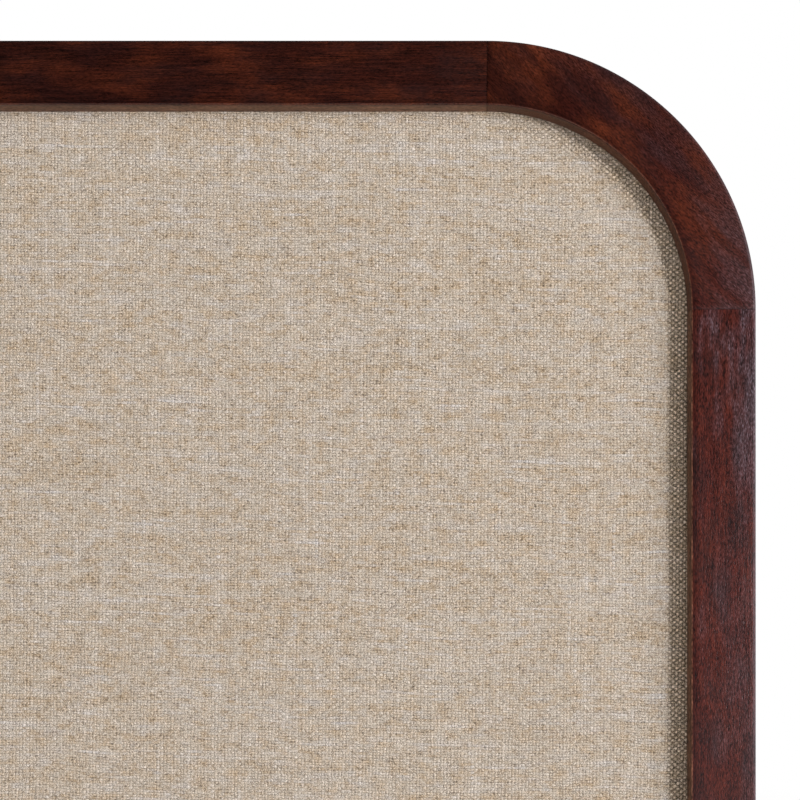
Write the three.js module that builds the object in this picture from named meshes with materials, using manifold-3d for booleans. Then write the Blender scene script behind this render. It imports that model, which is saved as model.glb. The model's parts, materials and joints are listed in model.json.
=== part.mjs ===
// Wall-hung pin board: a round-cornered hardwood frame of four rails and four sawn corner blocks,
// dowelled end to end, with a linen-covered tack panel held in its rabbet from behind.
// Millimetres, +Z up. The board faces -Y and hangs against a wall at Y = 0. The origin lies on the
// wall, midway between the two hooks, at the height where the upright pair of D-rings bears on them.

import * as THREE from "three";
import { mergeVertices } from "three/addons/utils/BufferGeometryUtils.js";
import Module from "manifold-3d";

const wasm = await Module();
wasm.setup();

// Board outline
const boardWidth = 508;
const boardHeight = 762;
const cornerRadius = 107.5;
const cornerSegments = 16;

// Frame section: a lip in front of the panel and a rabbet behind it
const railWidth = 26;
const frameDepth = 25;
const lipDepth = 8;
const rabbetWidth = 8;
const outerArris = 1.6;
const innerArris = 0.6;
const backArris = 0.8;
const arrisSegments = 2;
const jointGap = 0.1;

// Dowels across the joints between rails and corner blocks
const dowelDiameter = 6;
const dowelLength = 30;
const dowelChamfer = 0.8;
const dowelClearance = 0.15;
const dowelSegments = 10;
const dowelDepthShares = { front: 0.3, back: 0.72 };

// Panel: linen glued round a fibreboard core, with a hardboard back
const linenThickness = 0.9;
const linenCrown = 0.2;
const crownInset = 1.5;
const turnInWidth = 22;
const glueLine = 0.1;
const coreThickness = 9.5;
const panelClearance = 1.2;
const backingThickness = 2.5;
const backingClearance = 0.8;
const seatGap = 0.2;

// Flat steel points pushed into the rabbet wall over the backing board
const pointWidth = 9;
const pointLength = 16;
const pointThickness = 0.5;
const pointBite = 6.5;
const pointTip = 4;
const pointClearance = 0.15;
const longSidePointShares = [-0.41, -0.14, 0.14, 0.41];
const shortSidePointShares = [-0.33, 0, 0.33];

// D-ring hangers: one pair for hanging upright, one pair for hanging on its side
const wireRadius = 1;
const wireSegments = 8;
const ringHalfWidth = 6.2;
const ringReach = 12;
const ringCorner = 2;
const ringSteps = 28;
const ringGap = 0.3;
const strapWidth = 8;
const strapThickness = 0.8;
const strapLength = 24;
const strapSlit = 0.1;
const strapSlope = 1.5;
const strapHoleRadius = 2;
const knuckleClearance = 0.3;
const knuckleSegments = 10;
const uprightDrop = 152.4;
const sidewaysDrop = 127;

// Hanger screws, pan head with a cross recess
const screwFromBar = 18.6;
const screwRadius = 1.6;
const screwLength = 12.7;
const screwPoint = 4;
const screwHeadRadius = 3.3;
const screwHeadHeight = 2;
const screwHeadRim = 0.7;
const screwSegments = 12;
const pilotClearance = 0.15;
const recessWidth = 0.8;
const recessLength = 3.4;
const recessDepth = 1.1;

// Wall bumpers on the corner blocks
const bumperRadius = 5.5;
const bumperHeight = 5;
const bumperRim = 1.5;
const bumperTipRadius = 3;
const bumperSegments = 16;
const domeSegments = 4;

// How far a cutting tool runs past the face that it opens
const overrun = 2;

// Depths, from the wall forwards
const frameBack = -(bumperHeight + seatGap);
const frameFront = frameBack - frameDepth;
const lipBack = frameFront + lipDepth;
const linenSeat = lipBack + seatGap;
const linenFace = linenSeat - linenCrown;
const coreFront = linenSeat + linenThickness + glueLine;
const coreBack = coreFront + coreThickness;
const turnInFront = coreBack + glueLine;
const turnInBack = turnInFront + linenThickness;
const backingFront = turnInBack + seatGap;
const backingBack = backingFront + backingThickness;
const pointFront = backingBack + seatGap;

// Widths across the frame section
const landWidth = railWidth - rabbetWidth;
const sightWidth = boardWidth - 2 * railWidth;
const sightHeight = boardHeight - 2 * railWidth;
const sightRadius = cornerRadius - railWidth;

// Heights: the rings' inner tops lie at Z = 0 when they are swung up onto the hooks
const uprightBar = -(ringReach - wireRadius);
const boardTop = uprightBar + uprightDrop;
const boardMiddle = boardTop - boardHeight / 2;

// Hanger heights over the frame's back face
const strapTop = seatGap + 2 * strapThickness + strapSlit;
const knuckleInner = wireRadius + knuckleClearance;
const knuckleOuter = knuckleInner + strapThickness;
const barHeight = seatGap + knuckleOuter;

const quarterTurn = Math.PI / 2;

const wood = new THREE.MeshStandardMaterial({ color: 0x4a2018, roughness: 0.45 });
const beech = new THREE.MeshStandardMaterial({ color: 0xc9a877, roughness: 0.7 });
const linen = new THREE.MeshStandardMaterial({ color: 0xbaac9b, roughness: 0.95 });
const fibreboard = new THREE.MeshStandardMaterial({ color: 0x9c8a6c, roughness: 0.95 });
const hardboard = new THREE.MeshStandardMaterial({ color: 0x6b4a2e, roughness: 0.7 });
const steel = new THREE.MeshStandardMaterial({ color: 0xb9babb, roughness: 0.35, metalness: 1 });
const rubber = new THREE.MeshStandardMaterial({ color: 0x3b3936, roughness: 0.8 });

// A closed geometry as a solid that can be cut and joined
function solidOf(geometry) {
  const bare = geometry.clone();
  bare.deleteAttribute("normal");
  bare.deleteAttribute("uv");
  const merged = mergeVertices(bare);
  const vertProperties = merged.attributes.position.array;
  const triVerts = new Uint32Array(merged.index.array);
  return new wasm.Manifold(new wasm.Mesh({ numProp: 3, vertProperties, triVerts }));
}

function geometryOf(solid) {
  const { vertProperties, triVerts } = solid.getMesh();
  const geometry = new THREE.BufferGeometry();
  geometry.setAttribute("position", new THREE.BufferAttribute(vertProperties, 3));
  geometry.setIndex(new THREE.BufferAttribute(triVerts, 1));
  geometry.computeVertexNormals();
  return geometry;
}

function cut(geometry, tools) {
  return geometryOf(tools.reduce((left, tool) => left.subtract(solidOf(tool)), solidOf(geometry)));
}

// A mesh at its place in the assembly
function piece(name, geometry, material, place = [0, 0, 0]) {
  const mesh = new THREE.Mesh(geometry, material);
  mesh.name = name;
  mesh.position.set(...place);
  return mesh;
}

function box(width, depth, height, place) {
  return new THREE.BoxGeometry(width, depth, height).translate(...place);
}

// A bar of round section lying along X, with its ends at x0 and x1
function roundBar(radius, x0, x1, segments, place) {
  const bar = new THREE.CylinderGeometry(radius, radius, x1 - x0, segments);
  return bar.rotateZ(quarterTurn).translate((x0 + x1) / 2 + place[0], place[1], place[2]);
}

// A round-cornered outline in X and Z, as thick as from front to back along Y
function slab(width, height, radius, front, back) {
  const [x, y] = [width / 2, height / 2];
  const outline = new THREE.Shape();
  outline.absarc(x - radius, y - radius, radius, 0, quarterTurn);
  outline.absarc(radius - x, y - radius, radius, quarterTurn, 2 * quarterTurn);
  outline.absarc(radius - x, radius - y, radius, 2 * quarterTurn, 3 * quarterTurn);
  outline.absarc(x - radius, radius - y, radius, 3 * quarterTurn, 4 * quarterTurn);
  const settings = { depth: back - front, bevelEnabled: false, curveSegments: cornerSegments / 2 };
  return new THREE.ExtrudeGeometry(outline, settings).rotateX(quarterTurn).translate(0, back, 0);
}

// The frame's section. Across is counted inwards from the board's outer edge, and the depth
// from the wall, so that the lip's face lies at frameFront.
function frameSection() {
  const section = new THREE.Path();
  section.moveTo(outerArris, frameFront);
  section.lineTo(railWidth - innerArris, frameFront);
  section.absarc(railWidth - innerArris, frameFront + innerArris, innerArris, -quarterTurn, 0);
  section.lineTo(railWidth, lipBack);
  section.lineTo(landWidth, lipBack);
  section.lineTo(landWidth, frameBack);
  section.lineTo(backArris, frameBack);
  section.absarc(backArris, frameBack - backArris, backArris, quarterTurn, 2 * quarterTurn);
  section.lineTo(0, frameFront + outerArris);
  section.absarc(outerArris, frameFront + outerArris, outerArris, 2 * quarterTurn, 3 * quarterTurn);
  return section.getPoints(arrisSegments / 2);
}

// Holes for the pair of dowels in a joint face at x = face. Z is counted from the outer edge.
function dowelHoles(face, inwards) {
  const reach = dowelLength / 2 + dowelClearance;
  const ends = [face - inwards * overrun, face + inwards * reach].sort((a, b) => a - b);
  return Object.values(dowelDepthShares).map((share) =>
    roundBar(dowelDiameter / 2 + dowelClearance, ...ends, dowelSegments, [
      0,
      frameFront + share * frameDepth,
      -landWidth / 2,
    ]),
  );
}

// A straight rail lying along X, with its outer edge up at Z = 0
function railGeometry(length, pointPlaces, hangerScrews) {
  const outline = new THREE.Shape(frameSection().map((p) => new THREE.Vector2(p.y, -p.x)));
  const railLength = length - jointGap;
  const bar = new THREE.ExtrudeGeometry(outline, { depth: railLength, bevelEnabled: false });
  // The section is drawn in depth and height, and extruded along Z: stand it along X
  bar.applyMatrix4(
    new THREE.Matrix4().makeBasis(
      new THREE.Vector3(0, 1, 0),
      new THREE.Vector3(0, 0, 1),
      new THREE.Vector3(1, 0, 0),
    ),
  );
  bar.translate(-railLength / 2, 0, 0);
  const slots = pointPlaces.map((x) => {
    const depth = pointBite + pointClearance + overrun;
    const thickness = pointThickness + 2 * pointClearance;
    const foot = -landWidth - overrun;
    const place = [x, pointFront + pointThickness / 2, foot + depth / 2];
    return box(pointWidth + 2 * pointClearance, thickness, depth, place);
  });
  const pilots = hangerScrews.map((x) => {
    const depth = screwLength + overrun;
    const pilot = new THREE.CylinderGeometry(
      screwRadius + pilotClearance,
      screwRadius + pilotClearance,
      depth + overrun,
      screwSegments,
    );
    return pilot.translate(x, frameBack + overrun - (depth + overrun) / 2, -landWidth / 2);
  });
  const holes = [...dowelHoles(-railLength / 2, 1), ...dowelHoles(railLength / 2, -1)];
  return cut(bar, [...holes, ...slots, ...pilots]);
}

// The corner block at the top right, about the centre of its own arc
function cornerGeometry() {
  const profile = frameSection().map((p) => new THREE.Vector2(cornerRadius - p.x, p.y));
  profile.reverse().push(profile[0]);
  const ring = solidOf(new THREE.LatheGeometry(profile, 4 * cornerSegments));
  const side = cornerRadius + overrun;
  const middle = (jointGap / 2 + side) / 2;
  const span = side - jointGap / 2;
  const quadrant = box(span, frameDepth + 2 * overrun, span, [
    middle,
    frameBack - frameDepth / 2,
    middle,
  ]);
  const alongX = dowelHoles(jointGap / 2, 1).map((hole) => hole.translate(0, 0, cornerRadius));
  const alongZ = dowelHoles(-jointGap / 2, -1).map((hole) =>
    hole.translate(0, 0, cornerRadius).rotateY(quarterTurn),
  );
  return cut(geometryOf(ring.intersect(solidOf(quadrant))), [...alongX, ...alongZ]);
}

function dowelGeometry() {
  const [radius, half] = [dowelDiameter / 2, dowelLength / 2];
  const profile = [
    new THREE.Vector2(0, -half),
    new THREE.Vector2(radius - dowelChamfer, -half),
    new THREE.Vector2(radius, dowelChamfer - half),
    new THREE.Vector2(radius, half - dowelChamfer),
    new THREE.Vector2(radius - dowelChamfer, half),
    new THREE.Vector2(0, half),
  ];
  return new THREE.LatheGeometry(profile, dowelSegments).rotateZ(quarterTurn);
}

// A flat point with its tip up, as it is pushed into a rabbet wall whose face is at Z = 0
function pointGeometry() {
  const half = pointWidth / 2;
  const tail = pointBite - pointLength;
  const outline = new THREE.Shape();
  outline.moveTo(-half, tail);
  outline.lineTo(half, tail);
  outline.lineTo(half, pointBite - pointTip);
  outline.lineTo(0, pointBite);
  outline.lineTo(-half, pointBite - pointTip);
  const plate = new THREE.ExtrudeGeometry(outline, { depth: pointThickness, bevelEnabled: false });
  return plate.rotateX(quarterTurn).translate(0, pointThickness, 0);
}

// Four sides in turn, each with its own X along the rail and Z outwards. Near is the end at -X.
const sides = [
  { name: "top", turn: 0, length: boardWidth, out: boardHeight / 2, ends: ["left", "right"] },
  { name: "right", turn: 1, length: boardHeight, out: boardWidth / 2, ends: ["upper", "lower"] },
  { name: "bottom", turn: 2, length: boardWidth, out: boardHeight / 2, ends: ["right", "left"] },
  { name: "left", turn: 3, length: boardHeight, out: boardWidth / 2, ends: ["lower", "upper"] },
];

// Where each side's hanger screw goes, counted along the side's own X
const screwPlaces = {
  top: sidewaysDrop + screwFromBar - boardWidth / 2,
  right: uprightDrop + screwFromBar - boardHeight / 2,
  bottom: boardWidth / 2 - sidewaysDrop - screwFromBar,
  left: boardHeight / 2 - uprightDrop - screwFromBar,
};

function frameSide({ name, turn, length, out, ends }) {
  const straight = length - 2 * cornerRadius;
  const shares = length === boardHeight ? longSidePointShares : shortSidePointShares;
  const pointPlaces = shares.map((share) => share * straight);
  const group = new THREE.Group();
  group.add(piece(`${name}_rail`, railGeometry(straight, pointPlaces, [screwPlaces[name]]), wood));
  ends.forEach((end, index) => {
    const joint = (index - 1 / 2) * straight;
    for (const [row, share] of Object.entries(dowelDepthShares)) {
      const place = [joint, frameFront + share * frameDepth, -landWidth / 2];
      group.add(piece(`${name}_rail_${end}_dowel_${row}`, dowelGeometry(), beech, place));
    }
  });
  pointPlaces.forEach((x, index) => {
    const place = [x, pointFront, -landWidth];
    group.add(piece(`${name}_retaining_point_${index + 1}`, pointGeometry(), steel, place));
  });
  group.rotation.y = turn * quarterTurn;
  group.position.set(out * Math.sin(turn * quarterTurn), 0, out * Math.cos(turn * quarterTurn));
  return group;
}

function frameCorner(name, turn, x, z) {
  const block = piece(`${name}_corner_block`, cornerGeometry(), wood);
  block.rotation.y = turn * quarterTurn;
  block.position.set(x * (boardWidth / 2 - cornerRadius), 0, z * (boardHeight / 2 - cornerRadius));
  return block;
}

// The linen wraps the core's face and edges, and is turned in over its back. Inside the sight
// opening its face stands a little proud of the rim that the lip presses on.
function linenGeometry() {
  const inset = rabbetWidth - panelClearance;
  const [width, height] = [sightWidth + 2 * inset, sightHeight + 2 * inset];
  const radius = sightRadius + inset;
  const wrap = linenThickness + glueLine;
  const crown = slab(
    sightWidth - 2 * crownInset,
    sightHeight - 2 * crownInset,
    sightRadius - crownInset,
    linenFace,
    coreFront - glueLine,
  );
  const body = solidOf(slab(width, height, radius, linenSeat, turnInBack)).add(solidOf(crown));
  const hollow = slab(
    width - 2 * linenThickness,
    height - 2 * linenThickness,
    radius - linenThickness,
    coreFront - glueLine,
    coreBack + glueLine,
  );
  const opening = slab(
    width - 2 * turnInWidth,
    height - 2 * turnInWidth,
    radius - turnInWidth,
    coreBack - wrap,
    turnInBack + overrun,
  );
  return cut(geometryOf(body), [hollow, opening]);
}

function panel() {
  const inset = rabbetWidth - panelClearance - linenThickness - glueLine;
  const coreSize = [sightWidth + 2 * inset, sightHeight + 2 * inset, sightRadius + inset];
  const backingInset = rabbetWidth - backingClearance;
  const backingSize = [
    sightWidth + 2 * backingInset,
    sightHeight + 2 * backingInset,
    sightRadius + backingInset,
  ];
  const group = new THREE.Group();
  group.add(piece("linen_cover", linenGeometry(), linen));
  group.add(piece("tack_core", slab(...coreSize, coreFront, coreBack), fibreboard));
  group.add(piece("backing_board", slab(...backingSize, backingFront, backingBack), hardboard));
  return group;
}

// A strip folded back on itself round the ring's bar. Drawn with the bar at the origin: Z is up
// towards the ring's pull and Y stands out from the frame's back.
function strapGeometry() {
  const foot = -knuckleOuter;
  const lower = foot + strapThickness;
  const upper = lower + strapSlit;
  const top = upper + strapThickness;
  const far = strapLength;
  // Where the upper layer leaves the knuckle, going down the slope to lie on the lower layer
  const leave = Math.asin(knuckleInner / (knuckleInner + strapSlope));
  const landing = knuckleOuter + strapSlope;
  const around = (radius, angle) => [radius * Math.sin(angle), radius * Math.cos(angle)];
  const outline = new THREE.Shape();
  outline.moveTo(far, foot);
  outline.lineTo(far, lower);
  outline.lineTo(0, lower);
  // Inside of the knuckle, from its foot over the bar to the slope
  for (let step = 1; step <= knuckleSegments; step += 1) {
    const angle = Math.PI + (step / knuckleSegments) * (Math.PI + leave);
    outline.lineTo(...around(knuckleInner, angle));
  }
  outline.lineTo(landing, upper);
  outline.lineTo(far, upper);
  outline.lineTo(far, top);
  outline.lineTo(landing, top);
  for (let step = 0; step <= knuckleSegments; step += 1) {
    const angle = 2 * Math.PI + leave - (step / knuckleSegments) * (Math.PI + leave);
    outline.lineTo(...around(knuckleOuter, angle));
  }
  const strip = new THREE.ExtrudeGeometry(outline, { depth: strapWidth, bevelEnabled: false });
  strip.applyMatrix4(
    new THREE.Matrix4().makeBasis(
      new THREE.Vector3(0, 0, -1),
      new THREE.Vector3(0, 1, 0),
      new THREE.Vector3(1, 0, 0),
    ),
  );
  strip.translate(-strapWidth / 2, 0, 0);
  // The free end is rounded in plan
  const half = strapWidth / 2;
  const plan = new THREE.Shape();
  plan.moveTo(half, knuckleOuter + overrun);
  plan.lineTo(-half, knuckleOuter + overrun);
  plan.absarc(0, half - strapLength, half, 2 * quarterTurn, 4 * quarterTurn);
  const blank = new THREE.ExtrudeGeometry(plan, {
    depth: 2 * knuckleOuter + 2 * overrun,
    bevelEnabled: false,
    curveSegments: dowelSegments / 2,
  });
  blank.rotateX(quarterTurn).translate(0, knuckleOuter + overrun, 0);
  const hole = new THREE.CylinderGeometry(
    strapHoleRadius,
    strapHoleRadius,
    2 * knuckleOuter + 2 * overrun,
    screwSegments,
  ).translate(0, 0, -screwFromBar);
  return cut(geometryOf(solidOf(strip).intersect(solidOf(blank))), [hole]);
}

// The ring hangs from its bar, which lies along X through the origin
function ringGeometry() {
  const straight = ringHalfWidth - ringCorner;
  const bend = ringReach - ringHalfWidth;
  const path = new THREE.Path();
  path.moveTo(0, 0);
  path.lineTo(straight, 0);
  path.absarc(straight, -ringCorner, ringCorner, quarterTurn, 0, true);
  path.lineTo(ringHalfWidth, -bend);
  path.absarc(0, -bend, ringHalfWidth, 0, -2 * quarterTurn, true);
  path.lineTo(-ringHalfWidth, -ringCorner);
  path.absarc(-straight, -ringCorner, ringCorner, 2 * quarterTurn, quarterTurn, true);
  path.lineTo(0, 0);
  const points = path.getSpacedPoints(ringSteps).slice(0, ringSteps);
  const loop = new THREE.CatmullRomCurve3(
    points.map((p) => new THREE.Vector3(p.x, 0, p.y)),
    true,
  );
  return new THREE.TubeGeometry(loop, ringSteps, wireRadius, wireSegments, true);
}

// The screw stands along Y, with the underside of its head at the origin
function screwGeometry() {
  const profile = [
    new THREE.Vector2(0, -screwLength),
    new THREE.Vector2(screwRadius, screwPoint - screwLength),
    new THREE.Vector2(screwRadius, 0),
    new THREE.Vector2(screwHeadRadius, 0),
    new THREE.Vector2(screwHeadRadius, screwHeadRim),
    new THREE.Vector2(screwHeadRadius - screwHeadRim, screwHeadHeight),
    new THREE.Vector2(0, screwHeadHeight),
  ];
  const blank = new THREE.LatheGeometry(profile, screwSegments);
  const floor = screwHeadHeight + overrun;
  const depth = recessDepth + overrun;
  const place = [0, floor - depth / 2, 0];
  return cut(blank, [
    box(recessLength, depth, recessWidth, place),
    box(recessWidth, depth, recessLength, place),
  ]);
}

// A hanger about the foot of its bar on the frame's back face, pulling along +Z
function hanger(name) {
  const overStrap = strapTop + ringGap + wireRadius - barHeight;
  const strap = piece(`${name}_strap`, strapGeometry(), steel, [0, barHeight, 0]);
  const ring = piece(`${name}_ring`, ringGeometry(), steel, [0, barHeight, 0]);
  ring.rotation.x = Math.asin(overStrap / ringReach);
  const head = [0, strapTop + seatGap, -screwFromBar];
  const screw = piece(`${name}_screw`, screwGeometry(), steel, head);
  const group = new THREE.Group();
  group.add(strap, ring, screw);
  return group;
}

function hangers() {
  const across = (boardWidth - landWidth) / 2;
  const along = (boardHeight - landWidth) / 2;
  const bar = boardHeight / 2 - uprightDrop;
  const sidewaysBar = sidewaysDrop - boardWidth / 2;
  const places = [
    { name: "upright_left", x: -across, z: bar, turn: 0 },
    { name: "upright_right", x: across, z: bar, turn: 0 },
    { name: "sideways_top", x: sidewaysBar, z: along, turn: -1 },
    { name: "sideways_bottom", x: sidewaysBar, z: -along, turn: -1 },
  ];
  return places.map(({ name, x, z, turn }) => {
    const group = hanger(name);
    group.position.set(x, frameBack, z);
    group.rotation.y = turn * quarterTurn;
    return group;
  });
}

// A flat-topped dome standing along +Y from its glued foot
function bumperGeometry() {
  const dome = new THREE.Path();
  dome.absellipse(
    bumperTipRadius,
    bumperRim,
    bumperRadius - bumperTipRadius,
    bumperHeight - bumperRim,
    0,
    quarterTurn,
  );
  const profile = [
    new THREE.Vector2(0, 0),
    new THREE.Vector2(bumperRadius, 0),
    ...dome.getPoints(domeSegments / 2),
    new THREE.Vector2(0, bumperHeight),
  ];
  return new THREE.LatheGeometry(profile, bumperSegments);
}

// Corner blocks and bumpers: the turn from the top right corner, and the signs of its X and Z
const corners = [
  { name: "top_right", turn: 0, x: 1, z: 1 },
  { name: "bottom_right", turn: 1, x: 1, z: -1 },
  { name: "bottom_left", turn: 2, x: -1, z: -1 },
  { name: "top_left", turn: 3, x: -1, z: 1 },
];

const board = new THREE.Group();
board.position.z = boardMiddle;
board.add(...sides.map(frameSide), panel(), ...hangers());
for (const { name, turn, x, z } of corners) {
  board.add(frameCorner(name, turn, x, z));
  const diagonal = (cornerRadius - landWidth / 2) * Math.SQRT1_2;
  const place = [
    x * (boardWidth / 2 - cornerRadius + diagonal),
    -bumperHeight,
    z * (boardHeight / 2 - cornerRadius + diagonal),
  ];
  board.add(piece(`${name}_bumper`, bumperGeometry(), rubber, place));
}

export default board;
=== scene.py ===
"""A wall-hung linen pin board in a round-cornered stained wood frame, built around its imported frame."""

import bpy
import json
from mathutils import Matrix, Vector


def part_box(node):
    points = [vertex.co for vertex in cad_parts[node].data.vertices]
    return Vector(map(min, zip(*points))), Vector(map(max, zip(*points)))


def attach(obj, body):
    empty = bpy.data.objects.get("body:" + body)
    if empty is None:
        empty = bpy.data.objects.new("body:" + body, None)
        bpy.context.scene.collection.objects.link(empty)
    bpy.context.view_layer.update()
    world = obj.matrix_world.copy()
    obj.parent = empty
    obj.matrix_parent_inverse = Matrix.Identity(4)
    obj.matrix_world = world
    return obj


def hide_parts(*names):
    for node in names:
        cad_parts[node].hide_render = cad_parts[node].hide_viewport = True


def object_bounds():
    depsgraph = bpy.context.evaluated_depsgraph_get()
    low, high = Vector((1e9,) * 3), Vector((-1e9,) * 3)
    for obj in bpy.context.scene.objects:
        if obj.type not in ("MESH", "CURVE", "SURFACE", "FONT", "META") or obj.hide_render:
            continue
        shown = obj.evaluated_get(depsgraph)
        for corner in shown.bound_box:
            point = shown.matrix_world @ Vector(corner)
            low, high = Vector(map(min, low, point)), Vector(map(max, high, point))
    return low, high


bl_info = {
    "name": "Round-cornered Pin Board",
    "version": (1, 0, 0),
    "blender": (4, 5, 0),
    "location": "View3D > Sidebar > Pin Board",
    "description": "Builds the stained frame, linen panel and back hardware of a wall-hung pin board",
    "category": "Object",
}

import json
import math

import bmesh
import bpy
from bpy.props import FloatProperty, FloatVectorProperty, IntProperty, PointerProperty
from bpy.types import Operator, Panel, PropertyGroup
from mathutils import Matrix, Vector

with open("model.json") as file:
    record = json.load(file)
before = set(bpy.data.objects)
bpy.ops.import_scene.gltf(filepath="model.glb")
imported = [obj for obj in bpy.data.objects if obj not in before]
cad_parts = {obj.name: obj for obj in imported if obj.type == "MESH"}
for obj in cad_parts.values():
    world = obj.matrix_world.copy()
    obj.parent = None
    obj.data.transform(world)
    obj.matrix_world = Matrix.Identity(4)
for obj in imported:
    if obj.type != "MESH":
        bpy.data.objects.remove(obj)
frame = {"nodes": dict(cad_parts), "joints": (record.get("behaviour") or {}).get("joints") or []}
cad_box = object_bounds()

MM = 0.001
QUARTER = math.pi / 2
SQUARE = ((-1, -1), (1, -1), (1, 1), (-1, 1))
# Facets round each corner of the linen and of the board behind it
PANEL_STEPS = 24


def linear(red, green, blue):
    """A colour as it looks on screen, 0 to 255, in the renderer's own linear values."""
    parts = [value / 255 for value in (red, green, blue)]
    return tuple(p / 12.92 if p <= 0.04045 else ((p + 0.055) / 1.055) ** 2.4 for p in parts) + (1.0,)


def metres(name, description, value):
    return FloatProperty(name=name, description=description, default=value, unit="LENGTH")


def fraction(name, description, value):
    return FloatProperty(name=name, description=description, default=value, min=0)


def paint(name, description, *shown):
    colour = linear(*shown)
    return FloatVectorProperty(name=name, description=description, default=colour, subtype="COLOR", size=4)


def span(*nodes):
    """Lowest and highest corner of several nodes of the frame together."""
    boxes = [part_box(node) for node in nodes]
    low = Vector([min(low[axis] for low, _ in boxes) for axis in range(3)])
    high = Vector([max(high[axis] for _, high in boxes) for axis in range(3)])
    return low, high


def middle_of(node):
    low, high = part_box(node)
    return (low + high) / 2


def half_of(node):
    """Half of a node's width, depth and height."""
    low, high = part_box(node)
    return (high - low) / 2


def side_middle(node, side):
    """Middle of a node's side that faces the room (-1) or the wall (1)."""
    return middle_of(node) + Vector((0, side * half_of(node).y, 0))


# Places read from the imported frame
SIDES = ("top", "right", "bottom", "left")
CORNERS = ("top_right", "bottom_right", "bottom_left", "top_left")
HANGERS = ("upright_left", "upright_right", "sideways_top", "sideways_bottom")
BLOCKS = [f"{corner}_corner_block" for corner in CORNERS]
POINTS = sorted(node for node in frame["nodes"] if "_retaining_point_" in node)
DOWELS = sorted(node for node in frame["nodes"] if "_dowel_" in node)
LOW, HIGH = span(*BLOCKS)
MIDDLE = (LOW + HIGH) / 2
TOP_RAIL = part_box("top_rail")
RAIL_WIDTH = TOP_RAIL[1].z - TOP_RAIL[0].z
JOINT_X = (TOP_RAIL[1].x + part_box("top_right_corner_block")[0].x) / 2
CORNER_RADIUS = HIGH.x - JOINT_X
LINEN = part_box("linen_cover")
LIP_BACK = LINEN[0].y
PIVOTS = {joint["child"]: Vector(joint["pos_m"]) for joint in frame["joints"]}

# What the moulding's section tells its material: shares of inner rubbing, of the outer edge (painted sheen
# and more roughness), of bare wall, of thin stain and of painted shade beside the inner edge
MARKS = ("inner_rub", "outer_rub", "wall", "raw", "pooled")


class WoodSettings(PropertyGroup):
    """Sizes and stain of the frame's moulding."""

    rabbet: metres("Rabbet Width", "Width of the step that holds the panel", 8 * MM)
    outer_arris: metres("Outer Arris", "Radius of the outer front edge", 1.6 * MM)
    inner_arris: metres("Inner Arris", "Radius of the inner front edge", 0.6 * MM)
    back_arris: metres("Back Arris", "Radius of the outer back edge", 0.8 * MM)
    crown_width: metres("Crown Width", "How far in the sanded face falls away", 12 * MM)
    crown_drop: metres("Crown Drop", "How far the face falls away at its edges", 0.12 * MM)
    joint_ease: metres("Joint Easing", "Width of the eased edge at a joint", 0.06 * MM)
    seam: metres("Seam", "What shows of the gap between a rail and a block", 0.02 * MM)
    arris_steps: IntProperty(name="Arris Steps", description="Facets across a rounded edge", default=8, min=2)
    corner_steps: IntProperty(name="Corner Steps", description="Facets along a block", default=72, min=8)
    stain: paint("Brown Stain", "Main colour of the level rails", 40, 14, 9)
    stain_red: paint("Red Stain", "Main colour of the upright rails", 69, 26, 20)
    stain_dark: paint("Dark Stain", "Where the stain lies thick", 32, 13, 12)
    stain_warm: paint("Warm Stain", "Where the wood glows through", 88, 38, 19)
    # Painted sheen: a grey-lilac colour that stands in for the lamp's reflection on the upright rails and
    # their outer edges
    painted_sheen: paint("Painted Sheen", "Sheen painted on the upright rails", 84, 76, 84)
    rubbed: paint("Rubbed Edge", "Where an edge is rubbed through", 146, 100, 78)
    wall: paint("Inner Wall", "Sawn wall beside the linen", 123, 90, 70)
    raw: paint("Thin Stain", "Back and rabbet, wiped with stain once", 98, 62, 42)


class LinenSettings(PropertyGroup):
    """Weave and colours of the linen."""

    warp_pitch: metres("Warp Pitch", "Distance between upright threads", 1.373 * MM)
    weft_pitch: metres("Weft Pitch", "Distance between level threads", 1.093 * MM)
    warp_lean: fraction("Warp Lean", "Slope of the upright threads in the middle of the panel", 0.015)
    weft_fall: fraction("Weft Fall", "Slope of the level threads in the middle of the panel", 0.03)
    relief: metres("Relief", "Height of a thread over the gaps", 0.3 * MM)
    thickness: metres("Thickness", "Thickness of the cloth", 0.9 * MM)
    turn_in: metres("Turn-in", "Width glued down behind the panel", 22 * MM)
    warp: paint("Warp", "Upright threads", 205, 190, 172)
    weft: paint("Weft", "Level threads", 206, 189, 170)
    # The tan colour is also mixed into the edge strip as a painted warm bounce from the wood
    tan: paint("Tan Slubs", "Thick unbleached stretches", 196, 169, 136)
    pale: paint("Pale Threads", "Bleached stretches and the light on a thread's crown", 211, 205, 204)
    fleck: paint("Flecks", "Dark bits of straw", 100, 78, 58)
    gap: fraction("Gap Shade", "How dark the gaps between threads are", 0.62)


class BackSettings(PropertyGroup):
    """Sizes and finishes of what is behind the panel."""

    wire: metres("Ring Wire", "Radius of the ring's wire", 1.0 * MM)
    sheet: metres("Strap Sheet", "Thickness of the strap", 0.8 * MM)
    zinc: paint("Zinc", "Plated steel", 196, 197, 198)
    hardboard: paint("Hardboard", "Backing board", 121, 84, 54)
    rubber: paint("Rubber", "Bumpers", 58, 55, 52)


class StageSettings(PropertyGroup):
    """Camera, lamps and background."""

    view_width: metres("View Width", "Width of the view at the frame's face", 318.7 * MM)
    view_x: metres("View Right", "Middle of the view, right of the board's", 111.8 * MM)
    view_z: metres("View Up", "Middle of the view, above the board's", 237.24 * MM)
    distance: metres("Distance", "From the lens to the frame's face", 352 * MM)
    aim: metres("Lens Offset", "How far right of and below the view's middle the lens is", 26.2 * MM)
    key_level: fraction("Key Level", "How light the key lamp alone makes a white card", 0.29)
    side_level: fraction("Side Level", "How light the side lamp alone makes a white card", 0.36)
    room_level: fraction("Room Level", "How light the room alone makes a white card", 0.36)


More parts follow.
